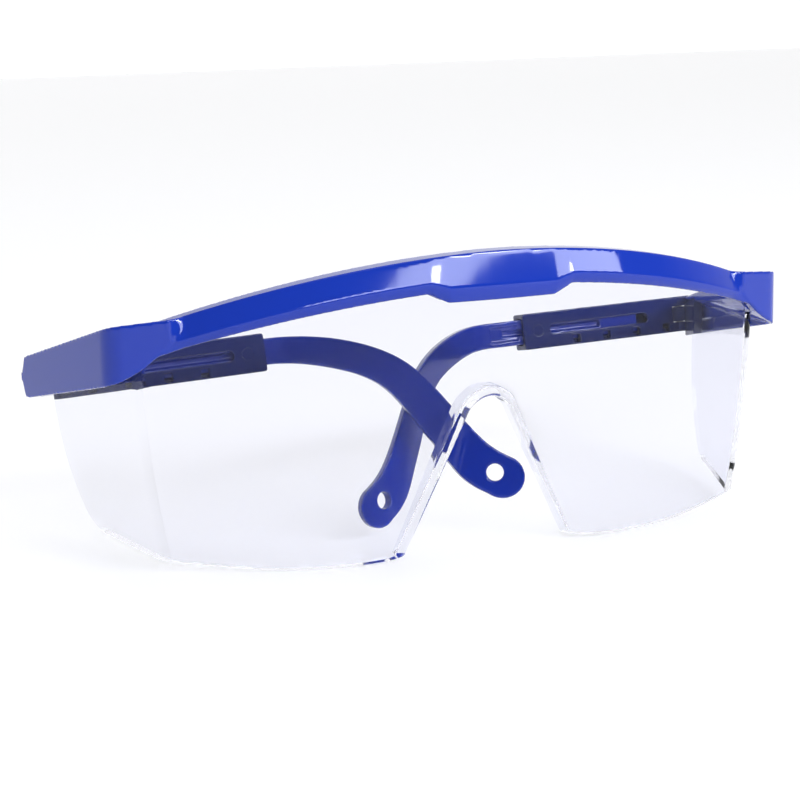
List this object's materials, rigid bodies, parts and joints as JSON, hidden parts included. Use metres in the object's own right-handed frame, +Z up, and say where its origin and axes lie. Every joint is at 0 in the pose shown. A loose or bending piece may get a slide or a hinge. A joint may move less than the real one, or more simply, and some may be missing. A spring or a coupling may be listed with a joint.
{
  "type": "safety glasses",
  "caption": "Folded safety glasses: blue brow frame, wraparound clear lens with side shields, and hinged temples with sliding ear pieces.",
  "frame": {"origin": "bottom centre of the bounding box with the temples folded", "axes": "+Z up, the lens faces -Y, X across the wearer's face"},
  "size_m": [0.1548, 0.0598, 0.0583],
  "materials": {
    "frame_blue": "gloss",
    "temple_blue": "gloss",
    "ear_blue": "gloss",
    "lens_clear": "clear gloss",
    "pin_steel": "satin"
  },
  "bodies": {
    "front": {"brow_frame": "frame_blue", "lens": "lens_clear", "hinge_block_left": "temple_blue", "hinge_block_right": "temple_blue", "hinge_pin_left": "pin_steel", "hinge_pin_right": "pin_steel"},
    "temple_left": {"temple_sleeve_left": "temple_blue", "stop_peg_left": "temple_blue"},
    "temple_right": {"temple_sleeve_right": "temple_blue", "stop_peg_right": "temple_blue"},
    "ear_left": {"ear_piece_left": "ear_blue"},
    "ear_right": {"ear_piece_right": "ear_blue"}
  },
  "joints": [
    {"name": "temple_right_fold", "type": "hinge", "parent": "front", "child": "temple_right", "pos_m": [0.0686, 0.02663, 0.03344], "axis": [0.0249, -0.1884, -0.9818], "range_deg": [0, 94.6]},
    {"name": "temple_left_fold", "type": "hinge", "parent": "front", "child": "temple_left", "pos_m": [-0.0686, 0.02663, 0.03164], "axis": [-0.0403, 0.1956, 0.9799], "range_deg": [0, 102.6]},
    {"name": "ear_right_slide", "type": "slide", "parent": "temple_right", "child": "ear_right", "axis": [-0.9993, -0.0321, -0.0192], "range_m": [0, 0.00738]},
    {"name": "ear_left_slide", "type": "slide", "parent": "temple_left", "child": "ear_left", "axis": [0.9852, -0.1559, 0.0716], "range_m": [0, 0.00738]}
  ],
  "couplings": [
    {"joint": "temple_left_fold", "follows": "temple_right_fold", "ratio": 1.0845},
    {"joint": "ear_left_slide", "follows": "ear_right_slide", "ratio": 1}
  ]
}
